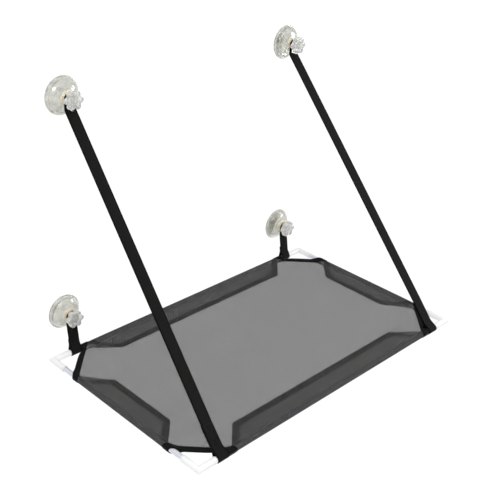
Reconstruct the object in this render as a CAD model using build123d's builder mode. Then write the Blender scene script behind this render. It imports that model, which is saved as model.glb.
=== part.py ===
"""A window perch: a tube frame with a mesh bed, hung by webbing straps from four suction cups.

Sizes are in millimetres. The glass is the plane Y = 0 and the room lies on its -Y side,
X runs along the window and Z points up. The origin is the point of the glass at the middle
of the perch, level with the axes of the tubes.
"""
import math
import os
from build123d import *

# Tube frame
frame_width = 560.0          # over the elbows, along the window
frame_depth = 330.0          # over the elbows, from the window side to the front
frame_gap = 21.0             # from the glass to the window side of the elbows
tube_diameter = 8.0
tube_wall = 0.8
elbow_wall = 1.0
elbow_arm = 35.0             # from the outer corner to the mouth of a socket
grip_ring_count = 3          # raised rings round each mouth
grip_ring_length = 1.6
grip_ring_gap = 1.4
grip_ring_height = 0.3
socket_depth = 22.0
socket_clearance = 0.1       # round the tube in its socket
tube_end_gap = 0.5           # from the tube's end to the bottom of its socket
mouth_chamfer = 0.6

# Mesh bed
panel_thickness = 0.8
sleeve_thickness = 0.8
sleeve_clearance = 0.3       # round the tube
flap_depth = 44.0            # from the outer side of the frame to the inner edge of a sleeve
hem_width = 10.0
corner_cut = 60.0            # what a clipped corner takes off each side
layer_clearance = 0.1        # between cloth layers that are sewn together
panel_tuck = 8.0             # how far the panel reaches in under the mitred end of a sleeve
binding_width = 10.0
binding_thickness = 0.8
corner_clearance = 4.0       # from the strap loops to the clipped corners of the bed
tube_clearance = 0.8         # from a tube to the edge of the panel at a clipped corner
notch_clearance = 1.0        # from the side of a strap loop to the panel

# Webbing straps
strap_width = 18.0
strap_thickness = 1.6
strap_inset = 45.0           # from the side of the frame to the middle of a strap loop
loop_clearance = 0.3         # round the tube
loop_length = 13.0           # from the tube's axis to where the two legs of the loop meet
long_sewn_length = 34.0
short_sewn_length = 9.0
bend_radius = 5.0            # inside the bend below a knob
bend_drop = 13.0             # from the stud down to where the strap starts to bend

# Suction cups and their places on the glass
upper_cup_reach = 223.0      # from the middle of the perch, along the window
upper_cup_height = 395.0     # above the tubes
lower_cup_height = 58.0
cup_diameter = 55.0
cup_lip_width = 3.0          # of the flat ring that seals on the glass
cup_lip_thickness = 1.2
cup_step = 1.5               # how far the dome stands in from the lip
cup_dome_height = 14.0
cup_hollow_depth = 3.0
neck_diameter = 15.0
neck_height = 18.0           # from the glass to the end of the neck
neck_fillet = 1.5

# Stud, eyelet and knob of each cup
stud_diameter = 7.8
stud_head_diameter = 11.0
stud_head_thickness = 2.5
stud_head_height = 9.0       # from the glass to the flat back of the head
stud_chamfer = 0.8
stud_clearance = 0.1
eyelet_bore_clearance = 0.4
eyelet_wall = 0.8
eyelet_flange_width = 2.4
eyelet_flange_thickness = 0.5
knob_hub_diameter = 16.0
knob_hub_length = 2.5
knob_body_diameter = 21.0
knob_lobe_diameter = 8.4
knob_span = 28.0             # over two opposite lobes
knob_body_length = 9.5
knob_chamfer = 1.0
knob_dish_diameter = 13.0
knob_dish_depth = 1.6
knob_clearance = 0.08        # round the stud, and between the hub and the eyelet
knob_floor = 2.0             # between the dish and the bottom of the bore
stud_set_back = 0.3          # from the bottom of the knob's bore to the stud's end
knob_lobes = 6

# Worked out from the sizes above
tube_radius = tube_diameter / 2
socket_radius = tube_radius + socket_clearance
elbow_radius = socket_radius + elbow_wall
arm_radius = elbow_radius - grip_ring_height
side_x = frame_width / 2 - elbow_radius
window_y = -(frame_gap + elbow_radius)
front_y = -(frame_gap + frame_depth - elbow_radius)
front_edge_y = -(frame_gap + frame_depth)
strap_x = frame_width / 2 - strap_inset
eyelet_back_height = neck_height + stud_clearance
strap_back_height = eyelet_back_height + eyelet_flange_thickness
strap_front_height = strap_back_height + strap_thickness
eyelet_front_height = strap_front_height + eyelet_flange_thickness
knob_height = eyelet_front_height + knob_clearance
knob_top_height = knob_height + knob_hub_length + knob_body_length
knob_bore_depth = knob_hub_length + knob_body_length - knob_dish_depth - knob_floor
stud_top_height = knob_height + knob_bore_depth - stud_set_back
eyelet_bore_radius = stud_diameter / 2 + eyelet_bore_clearance
eyelet_barrel_radius = eyelet_bore_radius + eyelet_wall
strap_hole_radius = eyelet_barrel_radius + layer_clearance
loop_outer_radius = tube_radius + loop_clearance + strap_thickness
corner_inset = elbow_radius + loop_outer_radius + corner_clearance
tube_inset = elbow_radius + tube_radius + tube_clearance
notch_reach = strap_inset + strap_width / 2 + notch_clearance

os.makedirs("parts", exist_ok=True)
made = []


def keep(part, name):
    """Label a finished piece and write its STEP file."""
    part.label = name
    export_step(part, f"parts/{name}.step")
    made.append(part)


def corner_point(side, end, across, along):
    """A plan point given by its distances from the nearest sides of the frame.

    side is -1 for left and 1 for right; end is 1 at the window and -1 at the front.
    """
    x = side * (frame_width / 2 - across)
    y = -frame_gap - along if end > 0 else front_edge_y + along
    return (x, y)


# Elbows: two arms that meet in a mitre, each with a socket and raised rings round its mouth
def make_elbow(side, end):
    corner = Vector(side * side_x, window_y if end > 0 else front_y, 0)
    arm = elbow_arm - elbow_radius
    directions = (Vector(-side, 0, 0), Vector(0, -end, 0))
    with BuildPart() as elbow:
        with BuildLine() as centre_line:
            Polyline(corner + directions[0] * arm, corner, corner + directions[1] * arm)
        with BuildSketch(Plane(origin=corner + directions[0] * arm, z_dir=directions[0])):
            Circle(arm_radius)
        sweep(path=centre_line.line, transition=Transition.RIGHT)
        for inward in directions:
            for ring in range(grip_ring_count):
                ring_start = arm - grip_ring_length - ring * (grip_ring_length + grip_ring_gap)
                with BuildSketch(Plane(origin=corner + inward * ring_start, z_dir=inward)):
                    Circle(elbow_radius)
                extrude(amount=grip_ring_length)
            with BuildSketch(Plane(origin=corner + inward * arm, z_dir=inward)):
                Circle(socket_radius)
            extrude(amount=-socket_depth, mode=Mode.SUBTRACT)
            mouth = elbow.faces().filter_by(GeomType.PLANE).sort_by(Axis(corner, inward))[-1]
            chamfer(mouth.edges(), length=min(mouth_chamfer, elbow_wall / 3))
    return elbow.part


end_names = {1: "window", -1: "front"}
side_names = {-1: "left", 1: "right"}
for end, end_name in end_names.items():
    for side, side_name in side_names.items():
        keep(make_elbow(side, end), f"{end_name}_{side_name}_elbow")


# Tubes: each runs from the socket of one elbow to the socket of the next
socket_bottom = elbow_arm - socket_depth + tube_end_gap
tube_runs = {
    "front_tube": ((-frame_width / 2 + socket_bottom, front_y, 0), (1, 0, 0), frame_width),
    "window_tube": ((-frame_width / 2 + socket_bottom, window_y, 0), (1, 0, 0), frame_width),
    "left_tube": ((-side_x, front_edge_y + socket_bottom, 0), (0, 1, 0), frame_depth),
    "right_tube": ((side_x, front_edge_y + socket_bottom, 0), (0, 1, 0), frame_depth),
}
for name, (start, direction, span) in tube_runs.items():
    with BuildPart() as tube:
        with BuildSketch(Plane(origin=start, z_dir=direction)):
            Circle(tube_radius)
            Circle(tube_radius - tube_wall, mode=Mode.SUBTRACT)
        extrude(amount=span - 2 * socket_bottom)
    keep(tube.part, name)


# Sleeves: mesh folded round a tube, with both legs closing on the panel at the hem
def make_sleeve(inward, corners):
    """inward is the direction from the tube to the middle of the bed; corners is the plan outline."""
    inner_radius = tube_radius + sleeve_clearance
    outer_radius = inner_radius + sleeve_thickness
    inner_half = panel_thickness / 2 + layer_clearance
    outer_half = inner_half + sleeve_thickness
    hem_end = flap_depth - elbow_radius
    hem_start = hem_end - hem_width
    run = max(frame_width, frame_depth)
    along_x = inward[0] == 0
    axis_point = ((0, front_y if inward[1] > 0 else window_y, 0) if along_x
                  else (-inward[0] * side_x, (front_y + window_y) / 2, 0))
    section = Plane(origin=axis_point, x_dir=inward, z_dir=Vector(*inward).cross(Vector(0, 0, 1)))
    with BuildPart() as sleeve:
        with BuildSketch(section):
            Circle(outer_radius)
            with Locations((hem_start, 0)):
                Rectangle(hem_width, 2 * outer_half, align=(Align.MIN, Align.CENTER))
            with BuildLine():
                Polyline(*tangent_quad(outer_radius, hem_start, outer_half), close=True)
            make_face()
            Circle(inner_radius, mode=Mode.SUBTRACT)
            with BuildLine():
                Polyline(*tangent_quad(inner_radius, hem_start, inner_half), close=True)
            make_face(mode=Mode.SUBTRACT)
            with Locations((hem_start, 0)):
                Rectangle(hem_width, 2 * inner_half, align=(Align.MIN, Align.CENTER), mode=Mode.SUBTRACT)
        extrude(amount=run / 2, both=True)
        with BuildSketch(Plane.XY):
            Polygon(*corners, align=None)
        extrude(amount=2 * outer_radius, both=True, mode=Mode.INTERSECT)
    return sleeve.part


def tangent_quad(radius, reach, half):
    """The quadrilateral between a circle at the origin and a short upright line at reach.

    Its slanted sides are the tangents from the line's ends, (reach, half) and (reach, -half).
    """
    distance = math.hypot(reach, half)
    angle = math.atan2(half, reach) + math.acos(radius / distance)
    touch = (radius * math.cos(angle), radius * math.sin(angle))
    return [touch, (reach, half), (reach, -half), (touch[0], -touch[1])]


def sleeve_outline(side_a, end_a, side_b, end_b, along_x):
    """Plan outline of a sleeve between two corners: a trapezoid with 45 degree ends."""
    outer, inner = corner_cut, corner_cut + flap_depth
    points = []
    for side, end, shares in ((side_a, end_a, (outer, inner)), (side_b, end_b, (inner, outer))):
        for reach in shares:
            depth = reach - corner_cut
            points.append(corner_point(side, end, reach, depth) if along_x else corner_point(side, end, depth, reach))
    return points


keep(make_sleeve((0, 1, 0), sleeve_outline(-1, -1, 1, -1, True)), "front_sleeve")
keep(make_sleeve((0, -1, 0), sleeve_outline(-1, 1, 1, 1, True)), "window_sleeve")
keep(make_sleeve((1, 0, 0), sleeve_outline(-1, -1, -1, 1, False)), "left_sleeve")
keep(make_sleeve((-1, 0, 0), sleeve_outline(1, -1, 1, 1, False)), "right_sleeve")


# Bed panel: one layer of mesh, its edges held in the hems and its corners clipped
seam_inset = flap_depth - hem_width + layer_clearance
panel_cut = corner_cut + (binding_thickness + layer_clearance) * math.sqrt(2)
tucked_edge = [
    (corner_cut + tube_inset + panel_tuck, tube_inset),
    (corner_cut + seam_inset + panel_tuck, seam_inset),
]
beside_strap = [
    (panel_cut - corner_inset, corner_inset),
    (notch_reach, corner_inset),
    (notch_reach, tube_inset),
    *tucked_edge,
]
beside_tube = [(panel_cut - tube_inset, tube_inset), *tucked_edge]
panel_points = []
for side, end in ((-1, -1), (1, -1), (1, 1), (-1, 1)):
    from_x = [corner_point(side, end, across, along) for across, along in beside_strap]
    from_y = [corner_point(side, end, along, across) for across, along in beside_tube]
    turn = from_y[::-1] + from_x if side * end > 0 else from_x[::-1] + from_y
    panel_points += turn
with BuildPart() as bed_panel:
    with BuildSketch(Plane.XY.offset(-panel_thickness / 2)):
        Polygon(*panel_points, align=None)
    extrude(amount=panel_thickness)
keep(bed_panel.part, "bed_panel")


# Bindings: tape folded over each clipped corner of the panel
def make_binding(side, end):
    half = panel_thickness / 2 + layer_clearance
    across_band = corner_cut + binding_width * math.sqrt(2)
    outline = [
        corner_point(side, end, corner_cut - corner_inset, corner_inset),
        corner_point(side, end, across_band - corner_inset, corner_inset),
        corner_point(side, end, tube_inset, across_band - tube_inset),
        corner_point(side, end, tube_inset, corner_cut - tube_inset),
    ]
    slot_band = corner_cut + binding_thickness * math.sqrt(2)
    slot = [
        corner_point(side, end, slot_band, 0),
        corner_point(side, end, slot_band + frame_depth, 0),
        corner_point(side, end, 0, slot_band + frame_depth),
        corner_point(side, end, 0, slot_band),
    ]
    with BuildPart() as binding:
        with BuildSketch(Plane.XY):
            Polygon(*outline, align=None)
        extrude(amount=half + binding_thickness, both=True)
        with BuildSketch(Plane.XY):
            Polygon(*slot, align=None)
        extrude(amount=half, both=True, mode=Mode.SUBTRACT)
    return binding.part


for end, end_name in end_names.items():
    for side, side_name in side_names.items():
        keep(make_binding(side, end), f"{end_name}_{side_name}_binding")


# Straps: an end with a hole, a bend, a straight run and a sewn loop round a tube
def make_strap(stud_x, stud_z, loop_x, tube_y, sewn_length):
    middle_height = (strap_back_height + strap_front_height) / 2
    middle_radius = bend_radius + strap_thickness / 2
    bend_z = stud_z - bend_drop
    bend_centre = (-(middle_height + middle_radius), bend_z)
    out = bend_centre[0] - tube_y
    down = bend_z
    offset = middle_radius + strap_thickness / 2
    turn = math.atan2(out, down) + math.asin(offset / math.hypot(out, down))
    along = Vector(0, -math.sin(turn), -math.cos(turn))
    face = Vector(0, -math.cos(turn), math.sin(turn))
    run_start = Vector(stud_x, *bend_centre) - face * middle_radius
    loop_top = Vector(loop_x, tube_y, 0) + face * (strap_thickness / 2) - along * (loop_length + sewn_length)
    inner_radius = tube_radius + loop_clearance
    with BuildPart() as strap:
        with BuildSketch(Plane(origin=(stud_x, -strap_back_height, stud_z), x_dir=(1, 0, 0), z_dir=(0, -1, 0))):
            Circle(strap_width / 2)
            Rectangle(strap_width, bend_drop, align=(Align.CENTER, Align.MAX))
            Circle(strap_hole_radius, mode=Mode.SUBTRACT)
        extrude(amount=strap_thickness)
        with BuildSketch(Plane(origin=(stud_x, 0, 0), x_dir=(0, 1, 0), z_dir=(1, 0, 0))):
            with BuildLine():
                inside = CenterArc(bend_centre, bend_radius, 0, -math.degrees(turn))
                outside = CenterArc(bend_centre, bend_radius + strap_thickness, 0, -math.degrees(turn))
                Line(inside @ 0, outside @ 0)
                Line(inside @ 1, outside @ 1)
            make_face()
        extrude(amount=strap_width / 2, both=True)
        with BuildSketch(Plane(origin=run_start, x_dir=(1, 0, 0), z_dir=along)):
            Rectangle(strap_width, strap_thickness)
        with BuildSketch(Plane(origin=loop_top, x_dir=(1, 0, 0), z_dir=along)):
            Rectangle(strap_width, strap_thickness)
        loft()
        with BuildSketch(Plane(origin=(loop_x, tube_y, 0), x_dir=along * -1, z_dir=(1, 0, 0))):
            Circle(loop_outer_radius)
            with BuildLine():
                Polyline(*tangent_quad(loop_outer_radius, loop_length, strap_thickness), close=True)
            make_face()
            with Locations((loop_length, 0)):
                Rectangle(sewn_length, 2 * strap_thickness, align=(Align.MIN, Align.CENTER))
            Circle(inner_radius, mode=Mode.SUBTRACT)
            with BuildLine():
                Polyline(*tangent_point(inner_radius, loop_length), close=True)
            make_face(mode=Mode.SUBTRACT)
        extrude(amount=strap_width / 2, both=True)
    print("strap: turns", round(math.degrees(turn), 1), "degrees, straight run",
          round((loop_top - run_start).length, 1), "mm")
    return strap.part


def tangent_point(radius, reach):
    """The triangle between a circle at the origin and a point at reach, its sides tangents."""
    angle = math.acos(radius / reach)
    touch = (radius * math.cos(angle), radius * math.sin(angle))
    return [touch, (reach, 0), (touch[0], -touch[1])]


for side, side_name in side_names.items():
    keep(make_strap(side * upper_cup_reach, upper_cup_height, side * strap_x, front_y, long_sewn_length),
         f"{side_name}_long_strap")
    keep(make_strap(side * strap_x, lower_cup_height, side * strap_x, window_y, short_sewn_length),
         f"{side_name}_short_strap")


# Suction cup sets: cup, stud, eyelet and knob on one axis square to the glass
def turned(plane):
    """The axis square to the glass through a section plane's origin."""
    return Axis(plane.origin, (0, 1, 0))


def make_cup(section):
    radius = cup_diameter / 2
    dome_radius = radius - cup_step
    neck_radius = neck_diameter / 2
    lip_inner = radius - cup_lip_width
    hollow_radius = (lip_inner ** 2 + cup_hollow_depth ** 2) / (2 * cup_hollow_depth)
    pocket_radius = stud_head_diameter / 2 + stud_clearance
    pocket_back = stud_head_height - stud_clearance
    pocket_front = stud_head_height + stud_head_thickness + stud_clearance
    hole_radius = stud_diameter / 2 + stud_clearance
    with BuildPart() as cup:
        with BuildSketch(section):
            with BuildLine():
                hollow = RadiusArc((0, -cup_hollow_depth), (lip_inner, 0), hollow_radius)
                Polyline(hollow @ 1, (radius, 0), (radius, -cup_lip_thickness), (dome_radius, -cup_lip_thickness))
                EllipticalCenterArc((neck_radius, -cup_lip_thickness), dome_radius - neck_radius,
                                    cup_dome_height - cup_lip_thickness, start_angle=270, arc_size=90)
                Polyline((neck_radius, -cup_dome_height), (neck_radius, -neck_height),
                         (hole_radius, -neck_height), (hole_radius, -pocket_front),
                         (pocket_radius, -pocket_front), (pocket_radius, -pocket_back),
                         (0, -pocket_back), hollow @ 0)
            make_face()
        revolve(axis=turned(section))
        lip_wall, neck_wall = cup.faces().filter_by(GeomType.CYLINDER).sort_by(lambda face: -face.radius)[:2]
        neck_root = neck_wall.edges().filter_by(GeomType.CIRCLE).sort_by(Axis.Y)[-1]
        fillet(neck_root, radius=neck_fillet)
    return cup.part


def make_stud(section):
    radius = stud_diameter / 2
    head_radius = stud_head_diameter / 2
    head_front = stud_head_height + stud_head_thickness
    with BuildPart() as stud:
        with BuildSketch(section):
            with BuildLine():
                Polyline((0, -stud_head_height), (head_radius, -stud_head_height), (head_radius, -head_front),
                         (radius, -head_front), (radius, -stud_top_height + stud_chamfer),
                         (radius - stud_chamfer, -stud_top_height), (0, -stud_top_height), close=True)
            make_face()
        revolve(axis=turned(section))
    return stud.part


def make_eyelet(section):
    flange_radius = eyelet_barrel_radius + eyelet_flange_width
    with BuildPart() as eyelet:
        with BuildSketch(section):
            with BuildLine():
                Polyline((eyelet_bore_radius, -eyelet_back_height), (flange_radius, -eyelet_back_height),
                         (flange_radius, -strap_back_height), (eyelet_barrel_radius, -strap_back_height),
                         (eyelet_barrel_radius, -strap_front_height), (flange_radius, -strap_front_height),
                         (flange_radius, -eyelet_front_height), (eyelet_bore_radius, -eyelet_front_height),
                         close=True)
            make_face()
        revolve(axis=turned(section))
    return eyelet.part


def make_knob(centre_x, centre_z):
    lobe_radius = knob_lobe_diameter / 2
    outwards = {"x_dir": (1, 0, 0), "z_dir": (0, -1, 0)}
    with BuildPart() as knob:
        with BuildSketch(Plane(origin=(centre_x, -(knob_height + knob_hub_length), centre_z), **outwards)):
            Circle(knob_body_diameter / 2)
            with PolarLocations(knob_span / 2 - lobe_radius, knob_lobes):
                Circle(lobe_radius)
        extrude(amount=knob_body_length)
        rims = knob.faces().filter_by(Axis.Y).edges()
        chamfer(rims, length=knob_chamfer)
        with BuildSketch(Plane(origin=(centre_x, -knob_height, centre_z), **outwards)):
            Circle(knob_hub_diameter / 2)
        extrude(amount=knob_hub_length)
        with BuildSketch(Plane(origin=(centre_x, -knob_top_height, centre_z), **outwards)):
            Circle(knob_dish_diameter / 2)
        extrude(amount=-knob_dish_depth, mode=Mode.SUBTRACT)
        with BuildSketch(Plane(origin=(centre_x, -knob_height, centre_z), **outwards)):
            Circle(stud_diameter / 2 + knob_clearance)
        extrude(amount=knob_bore_depth, mode=Mode.SUBTRACT)
    return knob.part


for side, side_name in side_names.items():
    for level, reach, height in (("upper", upper_cup_reach, upper_cup_height),
                                 ("lower", strap_x, lower_cup_height)):
        section = Plane(origin=(side * reach, 0, height), x_dir=(1, 0, 0), z_dir=(0, 0, 1))
        keep(make_cup(section), f"{level}_{side_name}_cup")
        keep(make_stud(section), f"{level}_{side_name}_stud")
        keep(make_eyelet(section), f"{level}_{side_name}_eyelet")
        keep(make_knob(side * reach, height), f"{level}_{side_name}_knob")

print("pieces made:", len(made))
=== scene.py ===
# %% [markdown]
# # A perch that hangs on a window
#
# The real thing is a light tube frame with a mesh bed, hung by webbing from four clear
# suction cups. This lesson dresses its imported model: the rigid tubes and elbows stay and get
# better finishes, while cloth, webbing, cups and knobs are made again as smooth surfaces.
#
# Every length is in metres. X runs along the window, the glass is the plane Y = 0 with the
# room on its -Y side, Z is up, and the tubes lie level with Z = 0.

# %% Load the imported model
import math

import bmesh
import bpy
import numpy as np
from mathutils import Matrix, Vector


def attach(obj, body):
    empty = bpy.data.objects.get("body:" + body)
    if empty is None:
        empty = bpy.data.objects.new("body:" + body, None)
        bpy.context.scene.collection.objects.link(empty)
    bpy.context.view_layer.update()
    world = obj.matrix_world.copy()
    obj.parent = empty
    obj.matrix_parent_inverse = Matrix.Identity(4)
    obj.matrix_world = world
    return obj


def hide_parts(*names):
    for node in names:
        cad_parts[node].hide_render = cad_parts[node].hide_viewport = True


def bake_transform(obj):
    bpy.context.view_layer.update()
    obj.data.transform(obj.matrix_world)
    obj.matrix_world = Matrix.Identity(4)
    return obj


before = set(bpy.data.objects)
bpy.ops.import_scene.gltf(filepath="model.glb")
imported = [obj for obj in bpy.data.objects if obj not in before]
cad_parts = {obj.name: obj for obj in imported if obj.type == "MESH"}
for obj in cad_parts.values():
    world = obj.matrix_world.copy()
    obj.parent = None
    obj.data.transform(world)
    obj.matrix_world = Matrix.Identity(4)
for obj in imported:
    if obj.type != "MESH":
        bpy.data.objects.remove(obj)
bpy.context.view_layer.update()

# %% [markdown]
# ## Sizes
#
# The same few sizes place every new piece, so they are named once. A plan position on the bed
# is given as (across, along): how far the point lies from the nearest side and from the nearest
# end of the frame. That way one list of points serves all four corners.

# %% Sizes of the frame, the cloth and the straps
FRAME_WIDTH, FRAME_DEPTH, FRAME_GAP = 0.560, 0.330, 0.021
HALF_WIDTH, HALF_DEPTH = FRAME_WIDTH / 2, FRAME_DEPTH / 2
ELBOW_RADIUS = 0.0051
WINDOW_Y = -(FRAME_GAP + ELBOW_RADIUS)
FRONT_Y = -(FRAME_GAP + FRAME_DEPTH - ELBOW_RADIUS)
MIDDLE_Y = -FRAME_GAP - HALF_DEPTH
CORNER_CUT, FLAP_DEPTH, HEM_WIDTH = 0.060, 0.044, 0.010
STRAP_X, STRAP_WIDTH, STRAP_THICKNESS = 0.235, 0.018, 0.0016
SEWN = {"long": 0.034, "short": 0.009}  # length of the sewn part beside a strap's loop
STUD_RADIUS = 0.0039
CUPS = {
    "upper_left": (-0.223, 0.395),
    "upper_right": (0.223, 0.395),
    "lower_left": (-0.235, 0.058),
    "lower_right": (0.235, 0.058),
}
print("frame", FRAME_WIDTH, "by", FRAME_DEPTH, "m")

# %% [markdown]
# ## Camera
#
# The view was worked out by fitting a pinhole camera to the corners of the frame and the
# middles of the cups: where it stands, which way it turns, and how long its lens is. Its frame
# is square, so the lens follows from the focal length in pixels over the width in pixels.

# %% Camera
YAW, PITCH, ROLL = (math.radians(a) for a in (43.77, 27.97, 1.96))
EYE = (-0.90389, -0.99123, 0.79628)
FOCAL_SHARE, SENSOR_WIDTH, LENS_SHIFT = 917.42 / 500, 36, 0.1
FARTHEST_SEEN = 600  # past the far edge of the floor

ahead = Vector((math.sin(YAW) * math.cos(PITCH), math.cos(YAW) * math.cos(PITCH),
                -math.sin(PITCH)))
level_right = Vector((math.cos(YAW), -math.sin(YAW), 0))
level_up = level_right.cross(ahead)
right = level_right * math.cos(ROLL) + level_up * math.sin(ROLL)
up = level_up * math.cos(ROLL) - level_right * math.sin(ROLL)

lens = bpy.data.cameras.new("camera")
camera = bpy.data.objects.new("camera", lens)
bpy.context.scene.collection.objects.link(camera)
camera.matrix_world = (Matrix.Translation(EYE)
                       @ Matrix((right, up, -ahead)).transposed().to_4x4())
lens.sensor_width = SENSOR_WIDTH
lens.lens = FOCAL_SHARE * lens.sensor_width
lens.shift_x = LENS_SHIFT
lens.clip_end = FARTHEST_SEEN
bpy.context.scene.camera = camera
print("lens", round(lens.lens, 2), "mm")

# %% [markdown]
# ## Surfaces from grids of points
#
# A tube, a strap and a folded sheet are all the same thing to the computer: a grid of points
# worked out from two parameters. One helper turns any such grid into a mesh. It joins the last
# column to the first where the surface closes on itself, and welds points that fall together,
# as they do at the pole of a turned shape.

# %% Helper: a grid of points becomes a mesh
WELD_GAP, THIN_EDGE = 2e-6, 1e-7


def faces_of_grid(rows, columns, around=False):
    """Cell (i, j) of a grid is the face between points (i, j), (i+1, j), (i+1, j+1) and
    (i, j+1); around joins the last column to the first."""
    number = np.arange(rows * columns).reshape(rows, columns)
    if around:
        number = np.concatenate([number, number[:, :1]], axis=1)
    corners = (number[:-1, :-1], number[1:, :-1], number[1:, 1:], number[:-1, 1:])
    return np.stack(corners, -1).reshape(-1, 4)


def add_piece(name, mesh, weld=False, outward=False):
    """Put a smooth-shaded mesh in the scene. Weld joins points that fall together, and outward
    turns the faces of a closed shape to its outside."""
    work = bmesh.new()
    work.from_mesh(mesh)
    if weld:
        bmesh.ops.remove_doubles(work, verts=work.verts, dist=WELD_GAP)
        bmesh.ops.dissolve_degenerate(work, edges=work.edges, dist=THIN_EDGE)
    if outward:
        bmesh.ops.recalc_face_normals(work, faces=work.faces)
    work.to_mesh(mesh)
    work.free()
    mesh.polygons.foreach_set("use_smooth", np.ones(len(mesh.polygons), bool))
    piece = bpy.data.objects.new(name, mesh)
    bpy.context.scene.collection.objects.link(piece)
    return piece


def make_mesh(name, points, faces, uv=None, sharp_above=None, closed=False, flip=False):
    """A piece from an array of points and one of faces. Uv gives a pair for every point, and
    edges that turn by more than sharp_above degrees stay sharp."""
    points = np.asarray(points, float).reshape(-1, 3)
    if flip:
        faces = faces[:, ::-1]
    mesh = bpy.data.meshes.new(name)
    mesh.from_pydata(points.tolist(), [], faces.tolist())
    if uv is not None:
        layer = mesh.uv_layers.new(name="cloth_map")
        corners = np.asarray(uv, float).reshape(-1, 2)[faces.reshape(-1)]
        layer.data.foreach_set("uv", corners.astype(np.float32).ravel())
    piece = add_piece(name, mesh, weld=True, outward=closed)
    if sharp_above is not None:
        mesh.set_sharp_from_angle(angle=math.radians(sharp_above))
    return piece


def full_turn(sides):
    """The angles of a full turn in equal steps."""
    return np.linspace(0, 2 * np.pi, sides, endpoint=False)


def make_turned(name, radius, height, centre, sides, sharp_above=None):
    """Point (i, t) is centre + (r cos t, -h, r sin t): a shape turned about the line through
    centre that stands square to the glass, with h measured from the glass. Heights come as a
    column, and radii as a column or as a whole grid."""
    angle = full_turn(sides)
    points = np.stack(np.broadcast_arrays(centre[0] + radius * np.cos(angle), -height,
                                          centre[1] + radius * np.sin(angle)), -1)
    faces = faces_of_grid(len(points), sides, around=True)
    return make_mesh(name, points, faces, closed=True, sharp_above=sharp_above)


def turned(name, profile, centre, sides, sharp_above=None):
    """A plain turned shape from a profile of (radius, height) pairs."""
    radius, height = (column[:, None] for column in np.asarray(profile, float).T)
    return make_turned(name, radius, height, centre, sides, sharp_above)


# %% Helper: paths
def run_length(points):
    """How far each point of a path lies from its start, measured along the path."""
    steps = np.linalg.norm(np.diff(points, axis=0), axis=1)
    return np.concatenate([[0], np.cumsum(steps)])


def soften(points, passes=2):
    """Each pass replaces every inner corner by two points, a quarter of the way in from each
    side."""
    points = np.asarray(points, float)
    for _ in range(passes):
        a, b = points[:-1], points[1:]
        cut = np.stack([0.75 * a + 0.25 * b, 0.25 * a + 0.75 * b], 1)
        cut = cut.reshape(-1, points.shape[1])
        points = np.concatenate([points[:1], cut[1:-1], points[-1:]])
    return points


def spread(points, count):
    """The same path with count points, evenly spaced by distance along it."""
    points = np.asarray(points, float)
    far = run_length(points)
    at = np.linspace(0, far[-1], count)
    return np.stack([np.interp(at, far, column) for column in points.T], -1)


def line(*points, count):
    """Straight from point to point, as count evenly spaced points."""
    return spread(np.array(points, float), count)


# %% [markdown]
# ## Effects that several finishes share
#
# Two effects come back in more than one material, so each is a node group: `threads` weaves
# cloth, tape and webbing at any pitch, and `small_marks` gives cloth its faint clouds and
# plastics and metals their clouds and scuffs too. A group only puts out numbers.

# %% Helper: node trees
def feed(tree, made, inputs):
    """Feed the inputs of a node, each from another socket or with a value of its own."""
    for key, value in inputs.items():
        if isinstance(value, bpy.types.NodeSocket):
            tree.links.new(value, made.inputs[key])
        else:
            made.inputs[key].default_value = value


def node(tree, kind, inputs=None, **settings):
    """Add a node, set its own settings, and feed its inputs."""
    made = tree.nodes.new(kind)
    for key, value in settings.items():
        setattr(made, key, value)
    feed(tree, made, inputs or {})
    return made


def maths(tree, operation, *values, clamp=False):
    """One step of arithmetic on numbers and sockets."""
    inputs = dict(enumerate(values))
    made = node(tree, "ShaderNodeMath", inputs, operation=operation, use_clamp=clamp)
    return made.outputs[0]


def share_between(tree, value, low, high):
    """0 where value is at low, 1 where it is at high, and a straight run between them."""
    return node(tree, "ShaderNodeMapRange", {0: value, 1: low, 2: high}).outputs[0]


def new_group(name, inputs, outputs):
    """An empty node group, with the sockets that it gives and takes inside."""
    tree = bpy.data.node_groups.new(name, "ShaderNodeTree")
    for label, kind, value in inputs:
        socket = tree.interface.new_socket(label, in_out="INPUT", socket_type=kind)
        if value is not None:
            socket.default_value = value
    for label in outputs:
        tree.interface.new_socket(label, in_out="OUTPUT", socket_type="NodeSocketFloat")
    given = tree.nodes.new("NodeGroupInput").outputs
    return tree, given, tree.nodes.new("NodeGroupOutput").inputs


def use(tree, group, **inputs):
    """Place a group in a tree. Its inputs are named as on the group, with _ for each space."""
    made = tree.nodes.new("ShaderNodeGroup")
    made.node_tree = group
    feed(tree, made, {key.replace("_", " "): value for key, value in inputs.items()})
    return made.outputs


# %% Group: woven threads
THREAD_LIFT, THREAD_SWING = 0.65, 0.35  # middle height of a thread and how far it weaves
COVER_SHARPNESS = 12


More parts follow.
